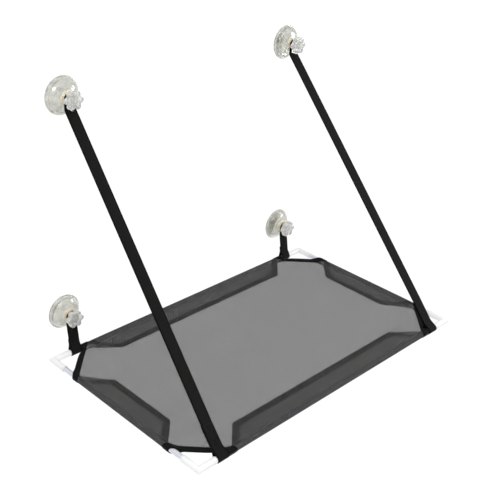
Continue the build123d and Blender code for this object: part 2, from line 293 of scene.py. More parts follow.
def make_threads():
    """Threads lie at whole numbers of u = x/pitch and v = y/pitch. A thread's height falls off
    as 1 - (distance/half width)^2, and it passes over and under as cos(pi (u + v)); what neither
    family covers is open. Unevenness makes each thread a little thicker or thinner."""
    tree, given, out = new_group(
        "threads",
        [("Map", "NodeSocketVector", None), ("Pitch Across", "NodeSocketFloat", 0.001),
         ("Pitch Along", "NodeSocketFloat", 0.001), ("Thread Share", "NodeSocketFloat", 0.5),
         ("Unevenness", "NodeSocketFloat", 0.0)],
        ["Height", "Cover"])
    place = node(tree, "ShaderNodeSeparateXYZ", {0: given["Map"]}).outputs
    u = maths(tree, "DIVIDE", place["X"], given["Pitch Across"])
    v = maths(tree, "DIVIDE", place["Y"], given["Pitch Along"])
    tops, covers = [], []
    for own, other, sign in ((u, v, 1), (v, u, -1)):
        off = maths(tree, "MULTIPLY", maths(tree, "PINGPONG", own, 0.5), 2)
        chance = node(tree, "ShaderNodeTexWhiteNoise", {"W": maths(tree, "ROUND", own)},
                      noise_dimensions="1D").outputs[0]
        width = maths(tree, "MULTIPLY_ADD", maths(tree, "SUBTRACT", chance, 0.5),
                      given["Unevenness"], given["Thread Share"])
        share = maths(tree, "DIVIDE", off, width)
        round_top = maths(tree, "SUBTRACT", 1, maths(tree, "POWER", share, 2), clamp=True)
        phase = maths(tree, "ADD", other, maths(tree, "ROUND", own))
        wave = maths(tree, "COSINE", maths(tree, "MULTIPLY", phase, math.pi))
        lift = maths(tree, "MULTIPLY_ADD", wave, THREAD_SWING * sign, THREAD_LIFT)
        tops.append(maths(tree, "MULTIPLY", round_top, lift))
        edge = maths(tree, "SUBTRACT", width, off)
        covers.append(maths(tree, "MULTIPLY_ADD", edge, COVER_SHARPNESS, 0.5, clamp=True))
    tree.links.new(maths(tree, "MAXIMUM", *tops), out["Height"])
    tree.links.new(maths(tree, "MAXIMUM", *covers), out["Cover"])
    return tree


THREADS = make_threads()
print("group", THREADS.name)


# %% Group: small marks
CLOUD_FINENESS = 60.0
MARK_BAND, CLOUD_BAND = (0.55, 0.75), (0.45, 0.65)


def make_marks():
    """Marks are the thin high band of one noise, broken up by a second, coarser one; Cloud is
    the coarser one by itself."""
    tree, given, out = new_group(
        "small_marks",
        [("Place", "NodeSocketVector", None), ("Fineness", "NodeSocketFloat", 900.0)],
        ["Marks", "Cloud"])
    fine = node(tree, "ShaderNodeTexNoise",
                {"Vector": given["Place"], "Scale": given["Fineness"], "Detail": 4.0}).outputs[0]
    coarse = node(tree, "ShaderNodeTexNoise",
                  {"Vector": given["Place"], "Scale": CLOUD_FINENESS, "Detail": 2.0}).outputs[0]
    thin = share_between(tree, fine, *MARK_BAND)
    some = share_between(tree, coarse, *CLOUD_BAND)
    tree.links.new(maths(tree, "MULTIPLY", thin, some), out["Marks"])
    tree.links.new(coarse, out["Cloud"])
    return tree


MARKS = make_marks()
print("group", MARKS.name)


# %% [markdown]
# ## Finishes
#
# The bed is black monofilament mesh. About a fifth of it is open, so one layer over a pale
# floor reads mid grey, two layers dark grey and three nearly black: the hems get their darker
# band from the layers themselves, not from painted shade. Each thread, though, is painted
# darker where it dips and lighter on its crest, as painted shade and painted highlight. The
# threads follow the cloth's own map, which is in metres, so they bend with it round the tubes.

# %% Helper: materials
def new_material(name):
    """An empty material, its tree and its shader."""
    material = bpy.data.materials.new(name)
    material.use_nodes = True
    tree = material.node_tree
    return material, tree, tree.nodes["Principled BSDF"]


def tone(tree, amount, dark, light):
    """A colour between two, by a share that changes over the surface."""
    mix = node(tree, "ShaderNodeMix", {0: amount}, data_type="RGBA")
    mix.inputs[6].default_value = (*dark, 1)
    mix.inputs[7].default_value = (*light, 1)
    return mix.outputs[2]


def bump(tree, height, distance):
    """A tilt of the surface that follows a height between 0 and distance."""
    inputs = {"Height": height, "Distance": distance, "Strength": 1.0}
    return node(tree, "ShaderNodeBump", inputs).outputs[0]


# %% Materials: mesh cloth, tape, webbing and thread
def woven(name, pitch, share, dark, light, roughness, depth, edge=None, is_open=False,
          shine=0.05, uneven=0.1):
    """Cloth woven of threads, pitch apart across and along, each as wide as a share of it. Its
    colour runs from dark where a thread dips to light on its crest, as painted shade and painted
    highlight. Where edge is given as (start, end), the colour darkens between those distances
    from the middle of the map, as painted shade of rolled edges; where the cloth is open, what
    no thread covers is clear."""
    material, tree, shader = new_material(name)
    cloth_map = node(tree, "ShaderNodeUVMap", uv_map="cloth_map").outputs[0]
    threads = use(tree, THREADS, Map=cloth_map, Pitch_Across=pitch[0], Pitch_Along=pitch[1],
                  Thread_Share=share, Unevenness=uneven)
    cloud = use(tree, MARKS, Place=cloth_map, Fineness=2500.0)["Cloud"]
    clouding = maths(tree, "MULTIPLY_ADD", cloud, 0.8, 0.6)
    # the colour follows the threads' height: painted shade in their dips, painted highlight on
    # their crests
    amount = maths(tree, "MULTIPLY", threads["Height"], clouding, clamp=True)
    # towards the edges the colour darkens: painted shade of the webbing's rolled edges
    if edge is not None:
        x = node(tree, "ShaderNodeSeparateXYZ", {0: cloth_map}).outputs["X"]
        inside = share_between(tree, maths(tree, "ABSOLUTE", x), edge[1], edge[0])
        amount = maths(tree, "MULTIPLY", amount, inside)
    uneven_gloss = maths(tree, "MULTIPLY_ADD", cloud, 0.2, roughness - 0.1)
    tree.links.new(tone(tree, amount, dark, light), shader.inputs["Base Color"])
    tree.links.new(uneven_gloss, shader.inputs["Roughness"])
    tree.links.new(bump(tree, threads["Height"], depth), shader.inputs["Normal"])
    if is_open:
        tree.links.new(threads["Cover"], shader.inputs["Alpha"])
    shader.inputs["Specular IOR Level"].default_value = shine
    return material


MESH_CLOTH = woven("mesh_cloth", (0.0010, 0.0010), 0.55, (0.012,) * 3, (0.034, 0.034, 0.032),
                   0.62, 0.0003, is_open=True, shine=0.15, uneven=0.06)
# edge darkens the webbing's sides as painted shade of its rolled edges
WEBBING = woven("webbing", (0.0018, 0.0012), 1.0, (0.001,) * 3, (0.010, 0.010, 0.0095),
                0.55, 0.0004, edge=(0.0066, 0.0084))
TAPE = woven("binding_tape", (0.0009, 0.0007), 1.0, (0.001,) * 3, (0.008,) * 3, 0.6, 0.0002)


def twisted_thread():
    """Sewing thread: dark stripes run round it aslant, as sin(k (x + y + z)). The dark stripes
    lie in the grooves that the bump cuts, so they are painted shade.
    """
    material, tree, shader = new_material("thread")
    place = node(tree, "ShaderNodeTexCoord").outputs["Object"]
    stripes = node(tree, "ShaderNodeTexWave",
                   {"Vector": place, "Scale": 900.0, "Distortion": 1.0},
                   bands_direction="DIAGONAL").outputs[1]
    # darker in the grooves of the twist: painted shade
    colour = tone(tree, stripes, (0.006,) * 3, (0.03,) * 3)
    tree.links.new(colour, shader.inputs["Base Color"])
    tree.links.new(bump(tree, stripes, 0.0001), shader.inputs["Normal"])
    shader.inputs["Roughness"].default_value = 0.6
    shader.inputs["Specular IOR Level"].default_value = 0.2
    return material


THREAD = twisted_thread()
print("cloth finishes ready")

# %% [markdown]
# The hard parts are white moulded plastic, satin tube, plated eyelets, and two clear plastics:
# soft in the cups, hard in the knobs. Clear plastic is all refraction, so what it needs is an
# exact form and an uneven, slightly grey, warm tint; the light does the rest. The tint's darker
# patches are also painted refraction: grey mottling like the surroundings seen through it.

# %% Materials: plastics and metals
def marked(name, dark, light, roughness, metallic=0.0, fineness=900.0, depth=0.00002,
           streak=None):
    """A hard surface whose colour clouds a little, whose marks are rougher, and whose skin is
    not quite flat; streak squeezes the pattern along one axis, as drawing does to a tube."""
    material, tree, shader = new_material(name)
    place = node(tree, "ShaderNodeTexCoord").outputs["Object"]
    if streak is not None:
        place = node(tree, "ShaderNodeMapping", {"Vector": place, "Scale": streak}).outputs[0]
    marks = use(tree, MARKS, Place=place, Fineness=fineness)
    rougher = maths(tree, "MULTIPLY_ADD", marks["Marks"], 0.35, roughness)
    skin = maths(tree, "SUBTRACT", marks["Cloud"], maths(tree, "MULTIPLY", marks["Marks"], 0.4))
    tree.links.new(tone(tree, marks["Cloud"], dark, light), shader.inputs["Base Color"])
    tree.links.new(rougher, shader.inputs["Roughness"])
    tree.links.new(bump(tree, skin, depth), shader.inputs["Normal"])
    shader.inputs["Metallic"].default_value = metallic
    return material


WHITE_PLASTIC = marked("white_plastic", (0.69, 0.69, 0.70), (0.74, 0.74, 0.74), 0.38,
                       depth=0.00004)
TUBE_ACROSS, TUBE_ALONG = (
    marked(name, (0.62, 0.62, 0.69), (0.74, 0.74, 0.80), 0.34, 0.65, 1400.0, 0.00001, streak)
    for name, streak in (("tube_along_x", (0.03, 1, 1)), ("tube_along_y", (1, 0.03, 1))))
NICKEL = marked("nickel", (0.52, 0.50, 0.47), (0.70, 0.69, 0.66), 0.18, 1.0)
STUD_PLASTIC = marked("stud_plastic", (0.60, 0.52, 0.38), (0.74, 0.67, 0.54), 0.38)


def clear_plastic(name, dark, light, roughness, ior, flow_and_refraction_scale, clear):
    """Clear plastic: a noise in its tint stands partly for the flow marks of moulding and partly
    for painted refraction, its dark patches the grey of the surroundings seen through it.
    """
    material, tree, shader = new_material(name)
    place = node(tree, "ShaderNodeTexCoord").outputs["Object"]
    flow_and_refraction = node(tree, "ShaderNodeTexNoise", {"Vector": place, "Scale": flow_and_refraction_scale,
                                             "Detail": 2.0, "Distortion": 0.6}).outputs[0]
    marks = use(tree, MARKS, Place=place, Fineness=700.0)
    rougher = maths(tree, "MULTIPLY_ADD", marks["Marks"], 0.25, roughness)
    # the tint's dark patches are partly painted refraction of grey surroundings, partly the
    # plastic's own uneven tint
    tree.links.new(tone(tree, flow_and_refraction, dark, light), shader.inputs["Base Color"])
    tree.links.new(rougher, shader.inputs["Roughness"])
    shader.inputs["Transmission Weight"].default_value = clear
    shader.inputs["IOR"].default_value = ior
    shader.inputs["Coat Weight"].default_value = 1.0
    shader.inputs["Specular IOR Level"].default_value = 1.0
    return material


CLEAR_SOFT = clear_plastic("clear_soft_plastic", (0.22, 0.22, 0.19), (0.98, 0.98, 0.90),
                           roughness=0.07, ior=1.50, flow_and_refraction_scale=120.0, clear=0.86)
AMBER_NECK = clear_plastic("amber_neck", (0.62, 0.54, 0.36), (0.86, 0.79, 0.61),
                           roughness=0.15, ior=1.50, flow_and_refraction_scale=150.0, clear=0.45)
CLEAR_HARD = clear_plastic("clear_hard_plastic", (0.72, 0.72, 0.70), (1.0, 1.0, 0.98),
                           roughness=0.06, ior=1.49, flow_and_refraction_scale=260.0, clear=0.72)
print("hard finishes ready")

# %% [markdown]
# ## The bed panel
#
# One layer of mesh, cut as an octagon whose corners reach out under the mitred ends of the
# sleeves and climb over the tubes beside the tape. It could be cut from a flat sheet with a
# knife tool; here it is built from ruled surfaces instead, so that its threads run straight and
# it can sag and climb by a formula.

# %% Helper: the profile of cloth round a tube
def fold_profile(radius, closing, half, end, arc=20, leg=7):
    """Points (depth from the tube's axis, height) from the lower edge, round the tube, to the
    upper edge. The tangent from (closing, half) touches the circle at
    atan2(half, closing) + acos(radius / distance)."""
    touch = math.atan2(half, closing) + math.acos(radius / math.hypot(closing, half))
    round_part = np.linspace(touch, math.pi, arc)
    upper = np.stack([radius * np.cos(round_part), radius * np.sin(round_part)], -1)
    slope = line((closing, half), upper[0], count=leg)[:-1]
    hem = line((end, half), (closing, half), count=3)[:-1]
    upper = np.concatenate([hem, slope, upper])
    lower = upper[:-1] * (1, -1)
    return np.concatenate([lower, upper[::-1]])


def upper_half(profile):
    """The part of a profile from the outermost point of the tube to the upper edge."""
    return profile[len(profile) // 2:]


# %% Helper: ruled surfaces and corners of the frame
CORNERS = [(side, end) for end in (1, -1) for side in (-1, 1)]
NAMES = {(-1, 1): "window_left", (1, 1): "window_right",
         (-1, -1): "front_left", (1, -1): "front_right"}


def ruled(curve_a, curve_b, count):
    """Point (i, j) lies the share j/count of the way from point i of one curve to point i of
    the other."""
    share = np.linspace(0, 1, count)[None, :, None]
    return curve_a[:, None] * (1 - share) + curve_b[:, None] * share


def on_frame(points, side, end):
    """Plan points (across, along) of one corner as X and Y: side is -1 left or 1 right, end is
    1 at the window or -1 at the front."""
    across, along = points[..., 0], points[..., 1]
    x = side * (HALF_WIDTH - across)
    y = -FRAME_GAP - along if end > 0 else -FRAME_GAP - FRAME_DEPTH + along
    return x, y


# %% Bed panel
SEAM, TUCK, SAG = 0.0335, 0.0145, 0.0025
CLIMB_RADIUS, CLIMB_END = 0.0043, 0.0100
CUT_BACK = 0.0009  # how far the clipped corner stays back, measured square to its edge
PANEL_CUT = CORNER_CUT + CUT_BACK * math.sqrt(2)
INNER = CORNER_CUT + SEAM + TUCK
NOTCH_ACROSS, NOTCH_DEPTH, NOTCH_SIDE = 0.0625, 0.0160, 0.0572  # room for a strap's loop
CORNER_STEPS, SIDE_STEPS, INWARD_STEPS = 25, 7, 19
climb = upper_half(fold_profile(CLIMB_RADIUS, CLIMB_END, 0.0, FLAP_DEPTH, arc=24))


def panel_patches():
    """The quarter of the panel next to one corner, as ruled patches in (across, along)."""
    def between_lines(one, other, rows, columns):
        """The patch between two straight edges."""
        return ruled(line(*one, count=rows), line(*other, count=rows), columns)

    diagonal = line((INNER, INNER), (PANEL_CUT / 2, PANEL_CUT / 2), count=CORNER_STEPS)
    by_strap = line((INNER, SEAM), (CORNER_CUT + ELBOW_RADIUS + TUCK, ELBOW_RADIUS),
                    (NOTCH_ACROSS, ELBOW_RADIUS), (NOTCH_SIDE, NOTCH_DEPTH),
                    (PANEL_CUT - NOTCH_DEPTH, NOTCH_DEPTH), count=CORNER_STEPS)
    return [
        ruled(diagonal, by_strap, CORNER_STEPS),
        ruled(diagonal, by_strap[:, ::-1], CORNER_STEPS),
        between_lines([(INNER, INNER), (INNER, HALF_DEPTH)],
                      [(HALF_WIDTH, INNER), (HALF_WIDTH, HALF_DEPTH)],
                      SIDE_STEPS, INWARD_STEPS),
        between_lines([(INNER, SEAM), (INNER, INNER)],
                      [(HALF_WIDTH, SEAM), (HALF_WIDTH, INNER)],
                      CORNER_STEPS, INWARD_STEPS),
        between_lines([(SEAM, INNER), (SEAM, HALF_DEPTH)],
                      [(INNER, INNER), (INNER, HALF_DEPTH)],
                      SIDE_STEPS, CORNER_STEPS),
    ]


def panel_height(patch, x, y):
    """The climb over the tube at this depth, less SAG (1 - (x/a)^2) (1 - (y/b)^2)."""
    bowl_x = np.clip(1 - (x / (HALF_WIDTH - SEAM)) ** 2, 0, 1)
    bowl_y = np.clip(1 - ((y - MIDDLE_Y) / (HALF_DEPTH - SEAM)) ** 2, 0, 1)
    depth = patch.min(-1) - ELBOW_RADIUS
    return np.interp(depth, climb[:, 0], climb[:, 1]) - SAG * bowl_x * bowl_y


points, faces, total = [], [], 0
for side, end in CORNERS:
    for patch in panel_patches():
        x, y = on_frame(patch, side, end)
        points.append(np.stack([x, y, panel_height(patch, x, y)], -1).reshape(-1, 3))
        faces.append(faces_of_grid(*patch.shape[:2]) + total)
        total += len(points[-1])
points, faces = np.concatenate(points), np.concatenate(faces)
a, b, c = (points[faces[:, i]] for i in (0, 1, 2))
down = np.cross(b - a, c - a)[:, 2] < 0
faces[down] = faces[down][:, ::-1]
bed_panel = make_mesh("mesh_bed", points, faces, uv=points[:, :2])

# %% [markdown]
# ## The sleeves
#
# Each sleeve is a strip folded round a tube, its two legs closing on the panel at the hem. The
# profile is a circle round the tube and the two tangents from it to the hem; the strip's ends
# are mitred, so a point's reach along the tube depends on its depth from the frame's side. The
# strip is cut on the bias: its map is turned by 22 degrees, so the threads of the two legs cross
# and their holes give an even grey. With the threads straight, whole rows of holes fall in line
# and the sleeve shows bright streaks.

# %% Sleeves
SLEEVE_RADIUS, SLEEVE_HALF = 0.0047, 0.0009
HEM_START, HEM_END = FLAP_DEPTH - HEM_WIDTH - ELBOW_RADIUS, FLAP_DEPTH - ELBOW_RADIUS
SLACK, SHORT_WAVE, LONG_WAVE, LONG_SHARE = 0.00015, 130, 47, 0.6
BIAS_ANGLE = math.radians(22)
BIAS = np.array([[math.cos(BIAS_ANGLE), -math.sin(BIAS_ANGLE)],
                 [math.sin(BIAS_ANGLE), math.cos(BIAS_ANGLE)]])
sleeve_profile = fold_profile(SLEEVE_RADIUS, HEM_START, SLEEVE_HALF, HEM_END)
profile_far = run_length(sleeve_profile)


def mitre(along):
    """How far a sleeve's end lies from the end of the frame: a tab beside the tube goes in under
    the tape, and from there the end runs aslant to CORNER_CUT + FLAP_DEPTH at the edge of the
    hem."""
    return CORNER_CUT + np.interp(along, (0.0, 0.0070, 0.0085, FLAP_DEPTH),
                                  (0.0, 0.0005, 0.0080, FLAP_DEPTH))


sleeves = {}
for name, along_x, sign, count in (("front", True, 1, 61), ("window", True, -1, 61),
                                   ("left", False, 1, 37), ("right", False, -1, 37)):
    # run = share * reach(depth), along X or for the side sleeves along Y; between the tube and
    # the hem the cloth is lifted by a little slack, as the sum of two waves sin(k run)
    depth, height = (column[:, None] for column in sleeve_profile.T)
    reach = (HALF_WIDTH if along_x else HALF_DEPTH) - mitre(depth + ELBOW_RADIUS)
    run = reach * np.linspace(-1, 1, count)
    slack = SLACK * np.sin(np.pi * np.clip(depth / HEM_START, 0, 1))
    billow = np.sin(run * SHORT_WAVE + 1) + LONG_SHARE * np.sin(run * LONG_WAVE)
    lift = height + np.sign(height) * slack * billow
    flat = sign * np.broadcast_to(depth, run.shape)
    if along_x:
        grid = np.stack([run, (FRONT_Y if sign > 0 else WINDOW_Y) + flat, lift], -1)
    else:
        grid = np.stack([-sign * (HALF_WIDTH - ELBOW_RADIUS) + flat,
                         run - FRAME_GAP - HALF_DEPTH, lift], -1)
    uv = np.stack([run, np.broadcast_to(profile_far[:, None], run.shape)], -1) @ BIAS
    sleeve = make_mesh(name + "_mesh_sleeve", grid, faces_of_grid(*run.shape), uv=uv,
                       flip=along_x == (sign > 0))
    sleeves[name] = sleeve
print("sleeve cloth is", round(profile_far[-1] * 1000, 1), "mm wide before it is folded")

# %% [markdown]
# ## Binding tape
#
# The clipped corners of the bed are bound with tape. It lies on both faces of the panel, and
# its ends climb round the tubes as the cloth does, beside the strap loops. So its height comes
# from the same kind of profile, read at each point's distance from the nearest side.

# %% Binding tape
BAND_RADIUS, BAND_CLOSING, BAND_HALF, BAND_THICKNESS = 0.0052, 0.0100, 0.0011, 0.0005
BAND_WIDTH, BAND_POINTS, BAND_ROWS = 0.0208, 61, 6
band = upper_half(fold_profile(BAND_RADIUS, BAND_CLOSING, BAND_HALF, HEM_END, arc=24))
fold_edge = soften([(0.0547, 0.0), (0.0547, 0.0149), (0.0535, 0.0154), (0.0450, 0.0154),
                    (0.0150, 0.0450), (0.0052, 0.0548), (0.0, 0.0600)])
inner_edge = soften([(0.0710, 0.0), (0.0685, 0.0048), (0.0638, 0.0099), (0.0572, 0.0150),
                     (0.0150, 0.0572), (0.0099, 0.0638), (0.0048, 0.0685), (0.0, 0.0710)])
fold_edge, inner_edge = spread(fold_edge, BAND_POINTS), spread(inner_edge, BAND_POINTS)

bindings = {}
for side, end in CORNERS:
    plan = ruled(fold_edge, inner_edge, BAND_ROWS)
    x, y = on_frame(plan, side, end)
    # the height above the middle of the bed depends on the distance from the nearest side
    z = np.interp(plan.min(-1) - ELBOW_RADIUS, band[:, 0], band[:, 1])
    upper = np.stack([x, y, z], -1)[:, ::-1]
    lower = np.stack([x, y, -z], -1)
    grid = np.concatenate([upper, lower], axis=1)
    width = np.linspace(0, BAND_WIDTH, grid.shape[1])
    uv = np.stack(np.broadcast_arrays(width[None, :], run_length(fold_edge)[:, None]), -1)
    binding = make_mesh(NAMES[side, end] + "_tape", grid, faces_of_grid(*grid.shape[:2]),
                        uv=uv, flip=side * end > 0)
    wall = binding.modifiers.new("wall", "SOLIDIFY")
    wall.thickness, wall.offset, wall.use_even_offset = BAND_THICKNESS, 0, False
    bindings[side, end] = binding
print("tapes:", len(bindings))

# %% [markdown]
# ## Straps
#
# A strap is a flat band carried along a path: down from the stud, round a small bend, straight
# to the bed, round the tube and back under itself, where it is sewn. Its top end is rounded and
# has a hole, so the band is laid in two halves that part where the hole is. A Solidify modifier
# gives the webbing its thickness and a Bevel rounds its edges.

# %% Helper: the path of a strap
MIDDLE_HEIGHT, BEND_RADIUS, BEND_DROP, LOOP_LENGTH = 0.0194, 0.0058, 0.013, 0.013
LOOP_RADIUS, HOLE_RADIUS = 0.0051, 0.0051
BELOW_HOLE, BEND_STEPS = 0.008, 8


def strap_path(stud_z, tube_y, sewn, rows):
    """Pieces of the path in (y, z): the flat end, an arc about the bend's centre, the tangent
    run, and the loop, an arc of LOOP_RADIUS about the tube with a tangent leg on each side. With
    them come the number of points up to the end of the arc and of the run, the top of the sewn
    part, and the directions along the run and out of its face."""
    bend = np.array([-(MIDDLE_HEIGHT + BEND_RADIUS), stud_z - BEND_DROP])
    out, drop = bend[0] - tube_y, bend[1]
    half = STRAP_THICKNESS / 2
    turn = math.atan2(out, drop) + math.asin((BEND_RADIUS + half) / math.hypot(out, drop))
    along = np.array([-math.sin(turn), -math.cos(turn)])
    face = np.array([-math.cos(turn), math.sin(turn)])

    hole = np.cos(np.linspace(0, np.pi, 13)) * HOLE_RADIUS
    cap = np.cos(np.linspace(0, np.pi / 2, 11)) * STRAP_WIDTH / 2
    drops = np.concatenate([cap, hole, [-BELOW_HOLE, -BEND_DROP]])
    levels = stud_z + np.unique(np.round(drops, 7))[::-1]
    flat = np.stack([np.full(len(levels), -MIDDLE_HEIGHT), levels], -1)
    angle = -np.linspace(0, turn, BEND_STEPS + 1)[1:]
    arc = bend + BEND_RADIUS * np.stack([np.cos(angle), np.sin(angle)], -1)
    axis = np.array([tube_y, 0.0])
    top = axis + face * half - along * (LOOP_LENGTH + sewn)
    run = line(arc[-1], top, count=rows)[1:]

    legs = line((LOOP_LENGTH + sewn, half), (LOOP_LENGTH, half), count=8)[1:]
    distance = math.hypot(LOOP_LENGTH, half)
    touch = math.atan2(half, LOOP_LENGTH) + math.acos(LOOP_RADIUS / distance)
    around = np.linspace(touch, 2 * math.pi - touch, 33)
    ring = LOOP_RADIUS * np.stack([np.cos(around), np.sin(around)], -1)
    tail = line((LOOP_LENGTH, -half), (LOOP_LENGTH + sewn, -half), count=8)
    to_ring = line(legs[-1], ring[0], count=5)[1:-1]
    from_ring = line(ring[-1], tail[0], count=5)[1:-1]
    local = np.concatenate([legs, to_ring, ring, from_ring, tail])
    loop = axis - local[:, :1] * along + local[:, 1:] * face

    path = np.concatenate([flat, arc, run, loop])
    arc_end = len(flat) + len(arc)
    return path, arc_end, arc_end + len(run), top, along, face


# %% Straps
BEVEL_WIDTH, HALF_COLUMNS = 0.0004, 7
WEB_THICKNESS = STRAP_THICKNESS - 0.0001


def make_strap(name, stud_x, stud_z, loop_x, tube_y, sewn, rows):
    """Point (i, j) is the path's point i moved along X by a share of the strap's half width;
    beside the hole the share runs from its rim to the strap's edge."""
    path, arc_end, run_end, top, along, face = strap_path(stud_z, tube_y, sewn, rows)
    far = run_length(path)
    middle = np.interp(far, [far[arc_end - 1], far[run_end - 1]], [stud_x, loop_x])
    above = path[:, 1] - stud_z
    flat = np.arange(len(path)) < arc_end - BEND_STEPS
    cap = flat & (above > 0)
    half = np.full(len(path), STRAP_WIDTH / 2)
    half[cap] = np.sqrt(np.clip(half[cap] ** 2 - above[cap] ** 2, 0, None))
    rim = np.zeros(len(path))
    rim[flat] = np.sqrt(np.clip(HOLE_RADIUS ** 2 - above[flat] ** 2, 0, None))
    share = np.linspace(0, 1, HALF_COLUMNS)
    grids, uvs = [], []
    for sign in (-1, 1):
        across = sign * (rim[:, None] + (half - rim)[:, None] * share)
        grid = np.broadcast_arrays(middle[:, None] + across, path[:, :1], path[:, 1:])
        grids.append(np.stack(grid, -1).reshape(-1, 3))
        uvs.append(np.stack(np.broadcast_arrays(across, far[:, None]), -1).reshape(-1, 2))
    cells = faces_of_grid(len(path), HALF_COLUMNS)
    faces = np.concatenate([cells, cells[:, ::-1] + len(grids[0])])
    strap = make_mesh(name, np.concatenate(grids), faces, uv=np.concatenate(uvs))
    wall = strap.modifiers.new("webbing", "SOLIDIFY")
    wall.thickness, wall.offset, wall.use_even_offset = WEB_THICKNESS, 0, True
    edge = strap.modifiers.new("edge", "BEVEL")
    edge.width, edge.segments = BEVEL_WIDTH, 2
    edge.limit_method, edge.angle_limit = "ANGLE", math.radians(50)
    strap.data.materials.append(WEBBING)
    print(name, "is", round(far[-1] * 1000), "mm of webbing")
    return strap, top, along, face


straps = {}
for word, side in (("left", -1), ("right", 1)):
    for kind, level, tube_y, rows in (("long", "upper", FRONT_Y, 70),
                                      ("short", "lower", WINDOW_Y, 7)):
        straps[word, kind] = make_strap(f"{word}_{kind}_webbing", *CUPS[f"{level}_{word}"],
                                        side * STRAP_X, tube_y, SEWN[kind], rows)

# %% [markdown]
# ## Stitches
#
# Every seam is real thread: a row of short stitches, each a thin tube that rises out of the
# cloth and goes back in. All stitches of a seam come from one formula, as one mesh.

# %% Helper: rows of stitches
STITCH_RADIUS, STITCH_GAP, STITCH_SHARE, STITCH_SINK = 0.00026, 0.12, 0.76, 0.2
STITCH_RINGS, STITCH_SIDES, STITCH_ENDS = 5, 6, (0.02, 0.98)


def stitch_faces():
    """The faces of one stitch: its tube, and a fan of triangles at each end. A triangle is
    written as a quad whose last point is given twice."""
    sides, last = STITCH_SIDES, (STITCH_RINGS - 1) * STITCH_SIDES
    fan = np.array([[0, i, i + 1, i + 1] for i in range(1, sides - 1)])
    return np.concatenate([faces_of_grid(STITCH_RINGS, sides, around=True), fan, fan + last])


def stitches(name, seams):
    """Ring t of a stitch has the radius r sqrt(sin(pi t)) and stands r sin(pi t) above the
    cloth. A seam is (start, end, normal, pitch)."""
    starts, steps, normals = [], [], []
    for start, finish, normal, pitch in seams:
        start, finish, normal = (np.asarray(v, float) for v in (start, finish, normal))
        count = max(2, round(np.linalg.norm(finish - start) / pitch))
        step = (finish - start) / count
        starts.append(start + step * (np.arange(count)[:, None] + STITCH_GAP))
        steps.append(np.broadcast_to(step * STITCH_SHARE, (count, 3)))
        normals.append(np.broadcast_to(normal / np.linalg.norm(normal), (count, 3)))
    start, step, normal = (np.concatenate(v)[:, None, None] for v in (starts, steps, normals))
    t = np.linspace(*STITCH_ENDS, STITCH_RINGS)[None, :, None, None]
    turn = full_turn(STITCH_SIDES)[None, None, :, None]
    swell = np.sin(np.pi * t)
    beside = np.cross(step, normal)
    beside = beside / np.linalg.norm(beside, axis=-1, keepdims=True)
    centre = start + step * t + normal * STITCH_RADIUS * (swell - STITCH_SINK)
    ring = np.cos(turn) * beside + np.sin(turn) * normal
    grid = centre + STITCH_RADIUS * np.sqrt(swell) * ring

    first = np.arange(len(grid))[:, None, None] * STITCH_RINGS * STITCH_SIDES
    faces = (stitch_faces()[None] + first).reshape(-1, 4)
    fans = faces[:, 2] == faces[:, 3]
    mesh = bpy.data.meshes.new(name)
    mesh.from_pydata(grid.reshape(-1, 3).tolist(), [],
                     faces[~fans].tolist() + faces[fans][:, :3].tolist())
    piece = add_piece(name, mesh, outward=True)
    piece.data.materials.append(THREAD)
    print(name, "has", len(grid), "stitches")
    return piece


# %% Seams of the bed
HEM_PITCH, TAPE_PITCH, FROM_EDGE, FROM_MITRE = 0.0032, 0.0026, 0.0018, 0.003
HEM_TOP, TAPE_TOP = SLEEVE_HALF + 0.0003, BAND_HALF + 0.0005
TAPE_SEAM_END, TAPE_SEAM_OFF = 0.019, 0.0070 / math.sqrt(2)


def flat_seam(plan, corners, z, up_down, pitch):
    """A seam level with the bed, between one plan point in each of two corners."""
    ends = [on_frame(np.asarray(point), *corner) for point, corner in zip(plan, corners)]
    return [*ends[0], z], [*ends[1], z], (0, 0, up_down), pitch


hem_seams, tape_seams = [], []
for up_down in (1, -1):
    z = up_down * HEM_TOP
    for depth in (FLAP_DEPTH - FROM_EDGE, FLAP_DEPTH - HEM_WIDTH + FROM_EDGE):
        reach = mitre(depth) + FROM_MITRE
        for end in (1, -1):
            hem_seams.append(flat_seam([(reach, depth)] * 2, [(-1, end), (1, end)],
                                       z, up_down, HEM_PITCH))
        for side in (-1, 1):
            hem_seams.append(flat_seam([(depth, reach)] * 2, [(side, -1), (side, 1)],
                                       z, up_down, HEM_PITCH))
near, far = TAPE_SEAM_END + TAPE_SEAM_OFF, CORNER_CUT - TAPE_SEAM_END + TAPE_SEAM_OFF
for corner in CORNERS:
    for up_down in (1, -1):
        tape_seams.append(flat_seam([(far, near), (near, far)], [corner] * 2,
                                    up_down * TAPE_TOP, up_down, TAPE_PITCH))
hem_thread = stitches("hem_stitches", hem_seams)
tape_thread = stitches("tape_stitches", tape_seams)


# %% Seams of the straps
STRAP_PITCH, STRAP_MARGIN, BOX_START, BOX_END = 0.0027, 0.0024, 0.0018, 0.0012
THREAD_BITE = 0.00002


def strap_seams(top, along, face, x, sewn, crossed):
    """A box of stitches on the sewn part of a strap, on both its faces, and a cross in the long
    ones."""
    near, far, w = BOX_START, sewn - BOX_END, STRAP_WIDTH / 2 - STRAP_MARGIN
    box = [(-w, near), (w, near), (w, far), (-w, far)]
    rows = list(zip(box, box[1:] + box[:1]))
    if crossed:
        rows += [(box[0], box[2]), (box[1], box[3])]
    seams = []
    for sign in (1, -1):
        base = top - face * STRAP_THICKNESS / 2 + face * sign * (STRAP_THICKNESS - THREAD_BITE)
        for row in rows:
            start, finish = ([x + across, *(base + along * down)] for across, down in row)
            seams.append((start, finish, (0, *(face * sign)), STRAP_PITCH))
    return seams


